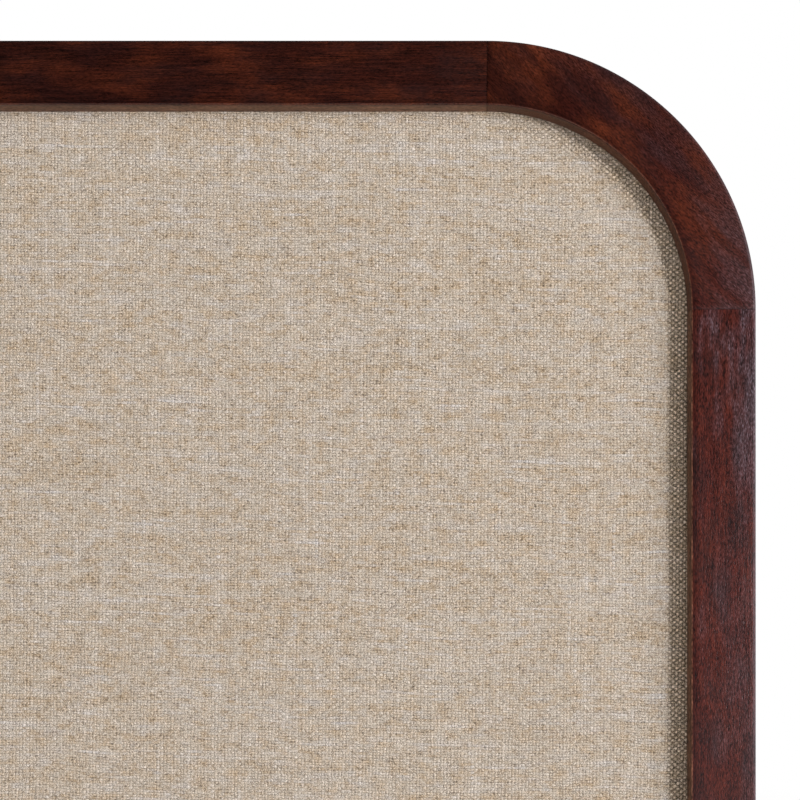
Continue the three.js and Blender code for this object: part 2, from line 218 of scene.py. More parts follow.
# Lamps in front of the board: angle to the right, angle upwards, width and height as angles, all in degrees
LAMPS = {
    "key": (50.2, -4.5, 7, 4),
    "side": (60, 6, 30, 22),
}
LAMP_DISTANCE = 5.0
# The lamp behind the board, from the board's middle, for views of its back
BACK_LAMP = {"place": (-0.9, 2.2, 1.1), "size": 1.2, "level": 0.5}

# How the stain took on each kind of piece, as shares of each effect; ruddy also sets how much painted sheen a
# piece gets
WOOD_LOOKS = {
    "level": {"ruddy": 0.0, "warmth": 0.35, "mottle": 0.5, "streak": 1.05, "bare_wall": 0.85, "gloss": 0.27},
    "upright": {"ruddy": 1.0, "warmth": 0.9, "mottle": 0.6, "streak": 1.25, "bare_wall": 1.0, "gloss": 0.24},
    "corner": {"ruddy": 0.65, "warmth": 0.9, "mottle": 0.38, "streak": 0.35, "bare_wall": 0.5, "gloss": 0.25},
}


def maths(operation, turned=False):
    """A method of Wire that adds a Math node, with its values the other way round if turned."""

    def act(self, *others):
        values = (*others, self) if turned else (self, *others)
        return self.tree.add("ShaderNodeMath", dict(enumerate(values)), operation=operation)[0]

    return act


class Wire:
    """A socket in a node tree that Python's operators extend with maths nodes."""

    __add__, __radd__ = maths("ADD"), maths("ADD", turned=True)
    __sub__, __rsub__ = maths("SUBTRACT"), maths("SUBTRACT", turned=True)
    __mul__, __rmul__ = maths("MULTIPLY"), maths("MULTIPLY", turned=True)
    __truediv__, __pow__ = maths("DIVIDE"), maths("POWER")
    floor, fract, magnitude = maths("FLOOR"), maths("FRACT"), maths("ABSOLUTE")
    most, least, cosine = maths("MAXIMUM"), maths("MINIMUM"), maths("COSINE")

    def __init__(self, tree, socket):
        self.tree = tree
        self.socket = socket

    def between(self, low, high):
        """0 below low, 1 above high and a smooth step from one to the other."""
        links = {"Value": self, "From Min": low, "From Max": high}
        return self.tree.add("ShaderNodeMapRange", links, interpolation_type="SMOOTHSTEP")[0]


class Made:
    """A node whose outputs are read by name or number as wires."""

    def __init__(self, tree, node):
        self.tree = tree
        self.node = node

    def __getitem__(self, key):
        return Wire(self.tree, self.node.outputs[key])


class Tree:
    """A node tree that is filled through one method."""

    def __init__(self, node_tree):
        self.nodes = node_tree.nodes
        self.links = node_tree.links

    def add(self, kind, links=(), **settings):
        """A new node, with a value or a wire for each input named or numbered in links."""
        node = self.nodes.new(kind)
        for name, value in settings.items():
            setattr(node, name, value)
        for key, value in dict(links).items():
            self.join(value, node.inputs[key])
        return Made(self, node)

    def join(self, value, socket):
        if isinstance(value, Wire):
            self.links.new(value.socket, socket)
        else:
            socket.default_value = value

    def mix(self, share, first, second):
        """Two colours mixed: the inputs are a Mix node's factor and its colour pair."""
        return self.add("ShaderNodeMix", {0: share, 6: first, 7: second}, data_type="RGBA")[2]

    def mix_number(self, share, first, second):
        return self.add("ShaderNodeMix", {0: share, 2: first, 3: second}, data_type="FLOAT")[0]

    def scale(self, colour, amount):
        return self.add("ShaderNodeVectorMath", {0: colour, "Scale": amount}, operation="SCALE")[0]

    def noise(self, vector, detail, roughness, seed):
        links = {"Vector": vector, "W": seed, "Scale": 1.0, "Detail": detail, "Roughness": roughness}
        return self.add("ShaderNodeTexNoise", links, noise_dimensions="4D")[0]

    def attribute(self, name):
        return self.add("ShaderNodeAttribute", attribute_name=name)["Fac"]

    def chance(self, vector):
        """One random number for each whole cell of a place."""
        return self.add("ShaderNodeTexWhiteNoise", {"Vector": vector}, noise_dimensions="3D")[0]

    def vector(self, x, y, z):
        return self.add("ShaderNodeCombineXYZ", {0: x, 1: y, 2: z})[0]


class Surface(Tree):
    """A material whose principled shader gets constants on its own sockets and wires for the rest."""

    def __init__(self, name):
        self.material = bpy.data.materials.new(name)
        self.material.use_nodes = True
        super().__init__(self.material.node_tree)
        self.shader = self.nodes["Principled BSDF"]
        self.place = self.add("ShaderNodeTexCoord")["Object"]
        self.grain = self.place

    def grains(self, sizes, detail, roughness, seed):
        """Noise in patches of sizes in millimetres: along the grain, into the depth and across the grain."""
        shares = tuple(1 / (size * MM) for size in sizes)
        small = self.add("ShaderNodeVectorMath", {0: self.grain, 1: shares}, operation="MULTIPLY")[0]
        return self.noise(small, detail, roughness, seed)

    def frame_place(self):
        """Three wires for a place on the frame.

        The first runs from 0 on the level rails to 1 on the upright ones, and the second from 0 at the inner
        edge to 1 at the outer. The third is how far the nearest joint between a rail and a block is.
        """
        parts = self.add("ShaderNodeSeparateXYZ", {0: self.place})
        past_x = (parts["X"] - MIDDLE.x).magnitude() - JOINT_X
        past_z = (parts["Z"] - MIDDLE.z).magnitude() - (HIGH.z - CORNER_RADIUS - MIDDLE.z)
        from_seam = past_x.magnitude().least(past_z.magnitude())
        round_x, round_z = past_x.most(0), past_z.most(0)
        reach = (round_x**2 + round_z**2) ** 0.5
        outward = (reach - (CORNER_RADIUS - RAIL_WIDTH)) / RAIL_WIDTH
        return round_x / (round_x + round_z), outward, from_seam

    def finish(self, colour, roughness, height=None, depth=MM, **constants):
        self.join(colour, self.shader.inputs["Base Color"])
        self.join(roughness, self.shader.inputs["Roughness"])
        if height is not None:
            bump = self.add("ShaderNodeBump", {"Height": height, "Distance": depth, "Strength": 1.0})
            self.join(bump["Normal"], self.shader.inputs["Normal"])
        for name, value in constants.items():
            self.shader.inputs[name.replace("_", " ")].default_value = value
        return self.material


def stained_wood(name, wood, turn, seed, ruddy, warmth, mottle, streak, bare_wall, gloss):
    """Dark wiped stain over a fine straight grain that runs at an angle to the level."""
    s = Surface(name)
    red, outward, from_seam = s.frame_place()
    s.grain = s.add("ShaderNodeMapping", {"Vector": s.place, "Rotation": (0, turn, 0)})[0]
    fibres = s.grains((12, 0.6, 0.44), 3, 0.6, seed)
    strands = s.grains((40, 4, 2.4), 2, 0.5, seed + 3)
    pores = s.grains((1.3, 0.5, 0.34), 1, 0.5, seed + 5)
    clouds = s.grains((20, 9, 8), 3, 0.55, seed + 8)
    glow = s.grains((34, 14, 12), 3, 0.55, seed + 13)

    base = s.mix(red * ruddy, wood.stain, wood.stain_red)
    warm = glow.between(0.4, 0.68) * (1.2 - red) * warmth + (fibres - 0.5) * 0.6 * streak
    colour = s.mix(warm.most(0).least(1), base, wood.stain_warm)
    dark = clouds.between(0.45, 0.7) * mottle
    colour = s.mix(dark, colour, wood.stain_dark)
    # Painted sheen: a grey-lilac colour stands in for the lamp's reflection on the upright rails, strongest
    # near the joints and on the outer side, with pale specks as painted glints in the pores
    painted_sheen = s.grains((22, 7, 6), 2, 0.5, seed + 17) + (outward - 0.6) * 0.3
    bloom = (0.34 + pores.between(0.5, 0.74) * 0.5) * (1 - from_seam.between(10 * MM, 140 * MM) * 0.9)
    colour = s.mix(painted_sheen.between(0.38, 0.64) * bloom * red * ruddy**2, colour, wood.painted_sheen)
    seam = from_seam.between(0.2 * MM, 0.5 * MM)

    wear = s.grains((7, 3, 3), 3, 0.6, seed + 21)
    inner, outer, wall, raw, pooled = (s.attribute(name) for name in MARKS)
    tone = 1 + ((fibres - 0.5) * 1.8 + (strands - 0.5) * 0.7) * streak
    tone = tone + (pores - 0.5) * (1 - raw * 0.6) * (2.5 + red * 1.4)
    rub = (inner * 0.9 + wear * 0.6).between(0.75, 1.15) * (0.15 + red**2 * ruddy * 0.75)
    colour = s.mix(rub, colour, wood.rubbed)
    # Painted highlight: the sheen colour laid along the outer edge of the upright rails
    colour = s.mix(outer * red * 0.3, colour, wood.painted_sheen)
    colour = s.mix(wall * (0.55 + wear * 0.6).least(1) * bare_wall, colour, wood.wall)
    colour = s.mix(raw * (0.5 + fibres * 0.5), colour, wood.raw)
    # The pooled mark darkens the face beside the inner edge as painted shade
    colour = s.scale(colour, tone.most(0.2) * (0.68 + seam * 0.32) * (1 - pooled * 0.5))

    rough = 0.27 + red * 0.1 + (clouds - 0.5) * 0.3 + (outer + wall + raw) * 0.3
    height = fibres * 0.3 + pores * 0.7
    tint = linear(244, 240, 246)
    return s.finish(colour, rough, height, 0.13 * MM, Specular_IOR_Level=gloss, Specular_Tint=tint)


def plain_weave(name, cloth):
    """Plain weave: uneven threads that pass over and under each other, with slubs and flecks."""
    s = Surface(name)
    wander = s.grains((50, 50, 50), 2, 0.5, 2)
    drift = s.grains((34, 34, 50), 2, 0.5, 6)
    parts = s.add("ShaderNodeSeparateXYZ", {0: s.place})
    x, z = parts["X"] - MIDDLE.x, parts["Z"] - MIDDLE.z
    # Stretched by hand, the cloth is a little out of square in the middle and square along the sides
    lean = z * (1 - z * z / (3 * (HIGH.z - MIDDLE.z) ** 2)) * cloth.warp_lean
    fall = x * (1 - x * x / (3 * (HIGH.x - MIDDLE.x) ** 2)) * cloth.weft_fall
    across = (x - lean) / cloth.warp_pitch + (wander - 0.5) * 1.6
    up = (z + fall) / cloth.weft_pitch + (drift - 0.5) * 3
    column, row = across.floor(), up.floor()
    from_warp = (across - column - 0.5).magnitude()
    from_weft = (up - row - 0.5).magnitude()
    # 1 where the upright thread lies on top, and 0 where it dips under the level one
    over = ((column + row) * 0.5).fract() * 2

    # Each thread has its own luck, and swells and thins along its length
    swell_warp = s.noise(s.vector(column * 3.7, 2, up * 0.14), 2, 0.6, 23)
    swell_weft = s.noise(s.vector(across * 0.11, 5, row * 3.7), 2, 0.6, 17)
    tone_warp = s.noise(s.vector(column * 5.3, 8, up * 0.02), 4, 0.72, 29)
    tone_weft = s.noise(s.vector(across * 0.03, 11, row * 5.3), 3, 0.6, 31)
    spot = s.chance(s.vector(column, 1, row))
    warp_half = 0.39 + swell_warp * 0.28
    weft_half = 0.24 + swell_weft * 0.3
    warp_round = (1 - (from_warp / warp_half) ** 2).most(0) ** 0.5
    weft_round = (1 - (from_weft / weft_half) ** 2).most(0) ** 0.5
    arch_warp = (from_weft * math.pi).cosine() * 0.5
    arch_weft = (from_warp * math.pi).cosine() * 0.5
    warp_height = warp_round * (0.5 + (over * 2 - 1) * arch_warp)
    weft_height = weft_round * (0.5 - (over * 2 - 1) * arch_weft)
    height = warp_height.most(weft_height)
    on_warp = (warp_height - weft_height).between(-0.08, 0.08)

    streak = s.grains((80, 80, 7), 2, 0.5, 53) - 0.5
    patch = s.noise(s.vector(across * 0.21, 13, row * 0.31), 4, 0.66, 37) + streak * 0.24
    pale = s.noise(s.vector(across * 0.1, 17, row * 0.32), 4, 0.64, 41) - streak * 0.2
    fuzz = s.grains((0.4, 0.4, 0.34), 1, 0.6, 43)
    tan = patch.between(0.36, 0.72) + s.mix_number(on_warp, (0.5 - tone_weft) * 0.5, (0.5 - tone_warp) * 0.55)
    colour = s.mix(on_warp, cloth.weft, cloth.warp)
    colour = s.mix(tan.most(0).least(1), colour, cloth.tan)
    pale_warp = (tone_warp - 0.5).between(0.06, 0.2) * on_warp * 0.3
    pale_weft = (tone_weft - 0.5).between(0.04, 0.2) * (1 - on_warp * 0.4) * 0.5
    bright = pale.between(0.46, 0.72) * 0.42 + pale_warp + pale_weft
    colour = s.mix(bright.least(1), colour, cloth.pale)
    straw = s.grains((2.4, 2.4, 0.55), 2, 0.5, 47).between(0.67, 0.74)
    colour = s.mix(straw * 0.6, colour, cloth.fleck)

    # Beside the frame's sides, in the strip marked edge, the weave gets painted shade: stronger fine
    # contrast, painted highlights on the thread crowns, shallower row furrows and a warm painted bounce from
    # the wood
    edge = s.attribute("edge")
    luck = s.mix_number(on_warp, tone_weft * 0.34 - 0.17, tone_warp * 0.44 + tone_weft * 0.08 - 0.26)
    tone = 0.81 + luck + (spot - 0.5) * 0.13 + (fuzz - 0.5) * (2.6 + edge * 2)
    gap = 1 - height.between(0.02, 0.42)
    # Painted highlight: a light spot on each crown where the upright thread lies on top, faint everywhere and
    # strong in the edge strip
    crown = over * (from_warp * 2.9).cosine() * (from_weft * 2.2).cosine()
    proud = (crown.between(0.1, 0.9) * (0.6 + spot * 0.5) - 0.27) * (0.05 + edge * 0.9)
    # Painted shade in the furrows between the level threads, lighter in the edge strip
    furrow = from_weft.between(0.3, 0.5) * (0.15 - edge * 0.09)
    # Here and there the threads part and leave a small hole where four of them meet; its darkness is painted
    # shade
    corner = s.vector((across + 0.5).floor(), 3, (up + 0.5).floor())
    parted = (s.chance(corner) + (patch - 0.5) * 0.8).between(0.88, 1.02)
    hole = (0.5 - from_warp).between(0.5, 0.2) * (0.5 - from_weft).between(0.5, 0.2) * parted
    shade = (tone + proud) * (1 - gap * cloth.gap) * (1 - furrow) * (1 - hole * 0.42)
    # Painted warm bounce from the wood: the tan colour mixed into the edge strip
    colour = s.mix(edge * 0.6, colour, cloth.tan)
    # Bright threads and painted crown highlights turn paler
    bleach_and_crown_light = (shade - 0.6).most(0) * (0.4 - edge * 0.15)
    colour = s.scale(s.mix(bleach_and_crown_light.least(0.6), colour, cloth.pale), shade.most(0.1))
    sheen = {"Specular_IOR_Level": 0.15, "Sheen_Weight": 0.1, "Sheen_Roughness": 0.6}
    return s.finish(colour, 0.92, height * 0.85 + fuzz * 0.4, cloth.relief, **sheen)


def plated_steel(name, back):
    s = Surface(name)
    cloud = s.grains((5, 5, 5), 3, 0.6, 1)
    grit = s.grains((0.5, 0.5, 0.5), 2, 0.5, 4)
    colour = s.mix(cloud.between(0.35, 0.75) * 0.5, back.zinc, linear(168, 170, 176))
    colour = s.mix(grit.between(0.62, 0.75) * 0.4, colour, linear(112, 108, 102))
    return s.finish(colour, 0.26 + cloud * 0.2 + grit * 0.1, grit, 0.012 * MM, Metallic=1.0)


def pressed_hardboard(name, back):
    s = Surface(name)
    fibre = s.grains((2.6, 1, 1.1), 4, 0.7, 2)
    cloud = s.grains((60, 60, 60), 3, 0.6, 5)
    speck = s.grains((1.3, 1, 0.7), 2, 0.5, 9)
    colour = s.mix(fibre.between(0.4, 0.7) * 0.6, back.hardboard, linear(92, 60, 38))
    colour = s.mix(cloud.between(0.35, 0.7) * 0.4, colour, linear(138, 100, 68))
    colour = s.mix(speck.between(0.66, 0.74) * 0.7, colour, linear(60, 40, 27))
    return s.finish(colour, 0.55 + fibre * 0.25, fibre, 0.05 * MM, Specular_IOR_Level=0.3)


def moulded_rubber(name, back):
    s = Surface(name)
    bloom = s.grains((3, 3, 3), 3, 0.6, 3)
    grain = s.grains((0.3, 0.3, 0.3), 1, 0.5, 6)
    colour = s.mix(bloom.between(0.4, 0.75) * 0.5, back.rubber, linear(88, 85, 80))
    return s.finish(colour, 0.62 + bloom * 0.2, grain, 0.02 * MM, Specular_IOR_Level=0.4)


def bare_beech(name):
    s = Surface(name)
    fleck = s.grains((1.4, 0.5, 1.4), 3, 0.6, 2)
    colour = s.mix(fleck.between(0.4, 0.7), linear(214, 182, 140), linear(176, 136, 94))
    return s.finish(colour, 0.65 + fleck * 0.15, fleck, 0.03 * MM, Specular_IOR_Level=0.3)


def soft_fibreboard(name):
    s = Surface(name)
    pulp = s.grains((1.8, 1.2, 1.8), 5, 0.7, 4)
    colour = s.mix(pulp.between(0.35, 0.7), linear(178, 156, 122), linear(132, 110, 80))
    return s.finish(colour, 0.95, pulp, 0.2 * MM, Specular_IOR_Level=0.1)


def mesh_object(name, vertices, faces=(), edges=()):
    mesh = bpy.data.meshes.new(name)
    mesh.from_pydata([tuple(vertex) for vertex in vertices], list(edges), list(faces))
    mesh.update()
    made = bpy.data.objects.new(name, mesh)
    bpy.context.scene.collection.objects.link(made)
    return made


def add_modifier(made, kind, **settings):
    modifier = made.modifiers.new(kind.title(), kind)
    for name, value in settings.items():
        setattr(modifier, name, value)


def bevel(made, width, angle=60):
    """Eases every edge where the faces meet at more than an angle in degrees."""
    limit = {"limit_method": "ANGLE", "angle_limit": math.radians(angle)}
    add_modifier(made, "BEVEL", width=width, segments=2, **limit)


def mark(made, name, values):
    """Stores one number for each point of a mesh."""
    made.data.attributes.new(name, "FLOAT", "POINT").data.foreach_set("value", values)


def ring_of_edges(count):
    return [(index, (index + 1) % count) for index in range(count)]


def settle(made, sharp_angle=math.radians(38)):
    """Turns an object with modifiers into one plain closed mesh whose faces point outwards."""
    view = bpy.context.evaluated_depsgraph_get()
    plain = bpy.data.meshes.new_from_object(made.evaluated_get(view))
    made.modifiers.clear()
    spent = made.data
    made.data = plain
    bpy.data.meshes.remove(spent)
    plain.name = made.name
    work = bmesh.new()
    work.from_mesh(plain)
    bmesh.ops.remove_doubles(work, verts=work.verts, dist=0.0005 * MM)
    bmesh.ops.recalc_face_normals(work, faces=work.faces)
    work.to_mesh(plain)
    work.free()
    plain.shade_smooth()
    plain.set_sharp_from_angle(angle=sharp_angle)
    return made


def dress(piece, material):
    piece.data.materials.clear()
    piece.data.materials.append(material)


def fit(piece, nodes, material=None, body="board"):
    """Gives a finished piece its material and sets it in the place of its nodes."""
    if material is not None:
        dress(piece, material)
    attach(piece, body)
    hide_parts(*nodes)


def drop(*spent):
    for made in spent:
        bpy.data.objects.remove(made)


class GeometryTree(Tree):
    """A geometry node tree with named inputs that ends in Realize Instances and Set Material."""

    def __init__(self, name, inputs):
        self.group = bpy.data.node_groups.new(name, "GeometryNodeTree")
        super().__init__(self.group)
        face = self.group.interface
        face.new_socket("Geometry", in_out="INPUT", socket_type="NodeSocketGeometry")
        for label, kind in [*inputs.items(), ("Material", "Material")]:
            face.new_socket(label, in_out="INPUT", socket_type=f"NodeSocket{kind}")
        face.new_socket("Geometry", in_out="OUTPUT", socket_type="NodeSocketGeometry")
        self.inputs = self.add("NodeGroupInput")

    def close(self, geometry):
        whole = self.add("GeometryNodeRealizeInstances", {0: geometry})[0]
        links = {0: whole, "Material": self.inputs["Material"]}
        self.add("NodeGroupOutput", {0: self.add("GeometryNodeSetMaterial", links)[0]})
        return self

    def grow(self, made, **values):
        """Runs the tree on an object with values for its named inputs."""
        modifier = made.modifiers.new(self.group.name, "NODES")
        modifier.node_group = self.group
        for item in self.group.interface.items_tree:
            if item.in_out == "INPUT" and item.name in values:
                modifier[item.identifier] = values[item.name]
        return made


def moulding_tree():
    """A section swept along a straight rail or round a corner block, lying in the board's plane.

    The path is drawn level and clockwise as seen from the front, then stood up against the wall.
    The section's X then runs inwards from the outer edge and its Y runs towards the wall.
    """
    sizes = dict.fromkeys(("Length", "Radius", "Trim", "Turn"), "Float")
    inputs = {"Section": "Object", "Curved": "Bool", "Steps": "Int", "Place": "Vector", **sizes}
    t = GeometryTree("Moulding", inputs)
    half = t.inputs["Length"] / 2
    ends = {"Start": t.vector(0 - half, 0, 0), "End": t.vector(half, 0, 0)}
    line = t.add("GeometryNodeCurvePrimitiveLine", ends)[0]
    arc_links = {
        "Resolution": t.inputs["Steps"],
        "Radius": t.inputs["Radius"],
        "Start Angle": QUARTER - t.inputs["Trim"],
        "Sweep Angle": t.inputs["Trim"] * 2 - QUARTER,
    }
    arc = t.add("GeometryNodeCurveArc", arc_links, mode="RADIUS")["Curve"]
    switch = {"Switch": t.inputs["Curved"], "False": line, "True": arc}
    path = t.add("GeometryNodeSwitch", switch, input_type="GEOMETRY")[0]
    upright = t.add("GeometryNodeSetCurveNormal", {0: path}, mode="Z_UP")[0]
    section = t.add("GeometryNodeObjectInfo", {"Object": t.inputs["Section"]})["Geometry"]
    outline = t.add("GeometryNodeMeshToCurve", {0: section})[0]
    sweep = {"Curve": upright, "Profile Curve": outline, "Fill Caps": True}
    bar = t.add("GeometryNodeCurveToMesh", sweep)[0]
    laid = t.add("GeometryNodeTransform", {0: bar, "Rotation": t.vector(0, 0, t.inputs["Turn"])})[0]
    stood = {0: laid, "Rotation": (QUARTER, 0, 0), "Translation": t.inputs["Place"]}
    return t.close(t.add("GeometryNodeTransform", stood)[0])


def arc_points(centre, radius, start, end, steps, squash=1.0):
    """Points along an arc from one angle to another, squashed in its second direction."""
    angles = [start + (end - start) * step / steps for step in range(steps + 1)]
    return [(centre[0] + radius * math.cos(a), centre[1] + squash * radius * math.sin(a)) for a in angles]


def moulding_section(wood):
    """The frame's section: across from its outer edge, and depth from the wall."""
    front, back = LOW.y, HIGH.y
    steps = wood.arris_steps
    fall = wood.crown_drop
    inner, outer = wood.inner_arris, wood.outer_arris
    inner_crown = wood.crown_width / 4
    rubbed_wall, bare_wall = 1.6 * inner, 5 * inner

    def face(x):
        outer_share = max(0.0, 1 - x / wood.crown_width)
        inner_share = max(0.0, 1 - (RAIL_WIDTH - inner - x) / inner_crown)
        return front + fall * (outer_share**2 + inner_share**2)

    tilt = math.atan(2 * fall / wood.crown_width)
    meet = outer - outer * math.sin(tilt)
    turn = (outer, face(meet) + outer * math.cos(tilt))
    points, shares = [], []

    def extend(found, swell=False, **marks):
        for index, point in enumerate(found):
            share = math.sin(math.pi * index / (len(found) - 1)) if swell else 1.0
            points.append((*point, 0))
            shares.append([marks.get(name, 0.0) * share for name in MARKS])

    extend(arc_points(turn, outer, math.pi, 3 * QUARTER - tilt, steps), swell=True, outer_rub=1.0)
    crown = [meet + (wood.crown_width - meet) * step / steps for step in range(1, steps + 1)]
    extend([(x, face(x)) for x in crown])
    # The face's last stretch before the inner edge carries painted shade, growing towards the edge
    for step in range(steps):
        x = RAIL_WIDTH - inner - inner_crown * (1 - step / steps)
        extend([(x, face(x))], pooled=(step / steps) ** 2)
    inner_turn = (RAIL_WIDTH - inner, face(RAIL_WIDTH - inner) + inner)
    extend(arc_points(inner_turn, inner, -QUARTER, 0, steps), swell=True, inner_rub=1.0)
    extend([(RAIL_WIDTH, front + rubbed_wall)], wall=0.45)
    extend([(RAIL_WIDTH, front + bare_wall), (RAIL_WIDTH, LIP_BACK)], wall=1.0)
    land = RAIL_WIDTH - wood.rabbet
    extend([(land, LIP_BACK), (land, back), (wood.back_arris + outer, back)], raw=1.0)
    back_turn = (wood.back_arris, back - wood.back_arris)
    extend(arc_points(back_turn, wood.back_arris, QUARTER, math.pi, steps // 2), outer_rub=0.4)
    section = mesh_object("moulding_section", points, edges=ring_of_edges(len(points)))
    for column, name in enumerate(MARKS):
        mark(section, name, [share[column] for share in shares])
    return section


def rounded_loop(half_width, half_height, radius, y):
    """A level loop round the board's middle with round corners, clockwise from the top right."""
    loop = []
    for turn, (x, z) in enumerate(((1, 1), (1, -1), (-1, -1), (-1, 1))):
        start = QUARTER * (1 - turn)
        centre = (MIDDLE.x + x * (half_width - radius), MIDDLE.z + z * (half_height - radius))
        corner = arc_points(centre, radius, start, start - QUARTER, PANEL_STEPS)
        loop.extend((px, y, pz) for px, pz in corner)
    return loop


def skin(name, loops, closed=False):
    """A surface through loops that have as many points each, with a flat face in the last one."""
    count = len(loops[0])
    vertices = [point for loop in loops for point in loop]
    faces = []
    for ring in range(len(loops) - 1):
        low, high = ring * count, (ring + 1) * count
        for first, after in ring_of_edges(count):
            faces.append((low + first, low + after, high + after, high + first))
    faces.append(tuple(range((len(loops) - 1) * count, len(loops) * count)))
    if closed:
        faces.append(tuple(reversed(range(count))))
    return mesh_object(name, vertices, faces)


class PinBoardStep(Operator):
    """Common base of the steps that build the board."""

    bl_options = {"REGISTER", "UNDO"}


class PINBOARD_OT_frame(PinBoardStep):
    """Sweep the stained moulding along the rails and round the corner blocks"""

    bl_idname = "pinboard.frame"
    bl_label = "Frame"

    def execute(self, context):
        wood = context.scene.pin_board_wood
        section = moulding_section(wood)
        tree = moulding_tree()
        half = (HIGH - LOW) / 2
        straight = half - Vector((CORNER_RADIUS, 0, CORNER_RADIUS))
        # Grain runs along each rail, and along the chord of each corner block
        for index, side in enumerate(SIDES):
            upright = index % 2
            turn = -index * QUARTER
            out = half.x if upright else half.z
            values = {
                "Curved": False,
                "Length": 2 * (straight.z if upright else straight.x) - wood.seam,
                "Turn": turn,
                "Place": Vector((MIDDLE.x - math.sin(turn) * out, 0, MIDDLE.z + math.cos(turn) * out)),
            }
            node = f"{side}_rail"
            look = WOOD_LOOKS["upright" if upright else "level"]
            finish = stained_wood(f"stained_wood_{node}", wood, upright * QUARTER, 1.7 * index, **look)
            self.sweep(tree, section, wood, f"{node}_wood", node, finish, values)
        for index, corner in enumerate(CORNERS):
            sign_x = 1 if "right" in corner else -1
            sign_z = 1 if "top" in corner else -1
            values = {
                "Curved": True,
                "Radius": CORNER_RADIUS,
                "Steps": wood.corner_steps,
                "Trim": wood.seam / 2 / CORNER_RADIUS,
                "Turn": -index * QUARTER,
                "Place": Vector((MIDDLE.x + sign_x * straight.x, 0, MIDDLE.z + sign_z * straight.z)),
            }
            chord = -sign_x * sign_z * QUARTER / 2
            look = WOOD_LOOKS["corner"]
            finish = stained_wood(f"stained_wood_{corner}", wood, chord, 9.1 + 2.3 * index, **look)
            self.sweep(tree, section, wood, f"{corner}_corner_wood", f"{corner}_corner_block", finish, values)
        drop(section)
        return {"FINISHED"}

    @staticmethod
    def sweep(tree, section, wood, name, node, finish, values):
        piece = tree.grow(mesh_object(name, []), Section=section, Material=finish, **values)
        bevel(piece, wood.joint_ease)
        fit(settle(piece), [node])


class PINBOARD_OT_linen(PinBoardStep):
    """Stretch the linen over the core and turn it in behind"""

    bl_idname = "pinboard.linen"
    bl_label = "Linen"

    def execute(self, context):
        cloth = context.scene.pin_board_linen
        half_x, _, half_z = half_of("linen_cover")
        front, back = LINEN[0].y, LINEN[1].y
        rim = half_x - ((HIGH.x - LOW.x) / 2 - RAIL_WIDTH)
        radius = CORNER_RADIUS - RAIL_WIDTH + rim
        bend, bend_steps = cloth.thickness, 4
        sink = 0.2 * MM
        seat = front + sink
        rise_start, rise_end, shade_strip_width = 0.7 * MM, 1.5 * MM, 7 * MM
        # Insets from the panel's edge and depths, from the turn-in behind to the sight opening
        path = [(cloth.turn_in, back), (bend, back)]
        path += [(bend - x, back - bend + y) for x, y in arc_points((0, 0), bend, QUARTER, 0, bend_steps)[1:]]
        path += [(bend - x, seat + bend + y) for x, y in arc_points((0, 0), bend, 0, -QUARTER, bend_steps)]
        # The frame's lip presses the cloth in, and it comes up to the front beside the lip
        path += [(rim, seat), (rim + rise_start, seat - 0.4 * sink), (rim + rise_end, front)]
        path += [(rim + inset, front) for inset in (6 * MM, 9 * MM, 12 * MM)]
        loops = [rounded_loop(half_x - inset, half_z - inset, radius - inset, y) for inset, y in path]
        linen = skin("linen_cover_cloth", loops)
        # The edge mark: a strip beside the frame's left and right sides, fading round the corners, where the
        # weave gets painted shade and painted highlights
        shares = []
        for inset, _ in path:
            near = inset < rim + shade_strip_width
            for x, _, _ in loops[0]:
                sideways = (abs(x - MIDDLE.x) - half_x + radius) / (radius - cloth.turn_in)
                shares.append(min(max(sideways, 0.0), 1.0) ** 0.8 if near else 0.0)
        mark(linen, "edge", shares)
        add_modifier(linen, "SOLIDIFY", thickness=cloth.thickness, offset=-1.0)
        settle(linen, math.radians(60))
        fit(linen, ["linen_cover"], plain_weave("natural_linen", cloth))
        return {"FINISHED"}


class PINBOARD_OT_backing(PinBoardStep):
    """Cut the hardboard back, and finish the core and dowels that it hides"""

    bl_idname = "pinboard.backing"
    bl_label = "Backing Board"

    def execute(self, context):
        half = half_of("backing_board")
        radius = CORNER_RADIUS - (HIGH.x - LOW.x) / 2 + half.x
        loops = [rounded_loop(half.x, half.z, radius, corner.y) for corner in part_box("backing_board")]
        board = skin("backing_hardboard", loops, closed=True)
        ease = 0.3 * MM
        bevel(board, ease)
        brown = pressed_hardboard("brown_hardboard", context.scene.pin_board_back)
        fit(settle(board), ["backing_board"], brown)
        hidden = {"tack_core": soft_fibreboard("soft_fibreboard")}
        hidden.update(dict.fromkeys(DOWELS, bare_beech("bare_beech")))
        for node, material in hidden.items():
            dress(frame["nodes"][node], material)
        return {"FINISHED"}


def fixture_tree():
    """Copies of one small fixture, each at a point and turned about the board's depth."""
    t = GeometryTree("Fixtures", {"Fixture": "Object"})
    one = t.add("GeometryNodeObjectInfo", {"Object": t.inputs["Fixture"]})["Geometry"]
    turn = t.add("GeometryNodeInputNamedAttribute", {"Name": "turn"}, data_type="FLOAT")[0]
    links = {"Points": t.inputs["Geometry"], "Instance": one, "Rotation": t.vector(0, turn, 0)}
    return t.close(t.add("GeometryNodeInstanceOnPoints", links)[0])


def place_copies(name, fixture, places, material):
    """One plain piece with a copy of the fixture at each (place, turn)."""
    spots = mesh_object(name, [place for place, _ in places])
    mark(spots, "turn", [turn for _, turn in places])
    fixture_tree().grow(spots, Fixture=fixture, Material=material)
    settle(spots)
    drop(fixture)
    return spots


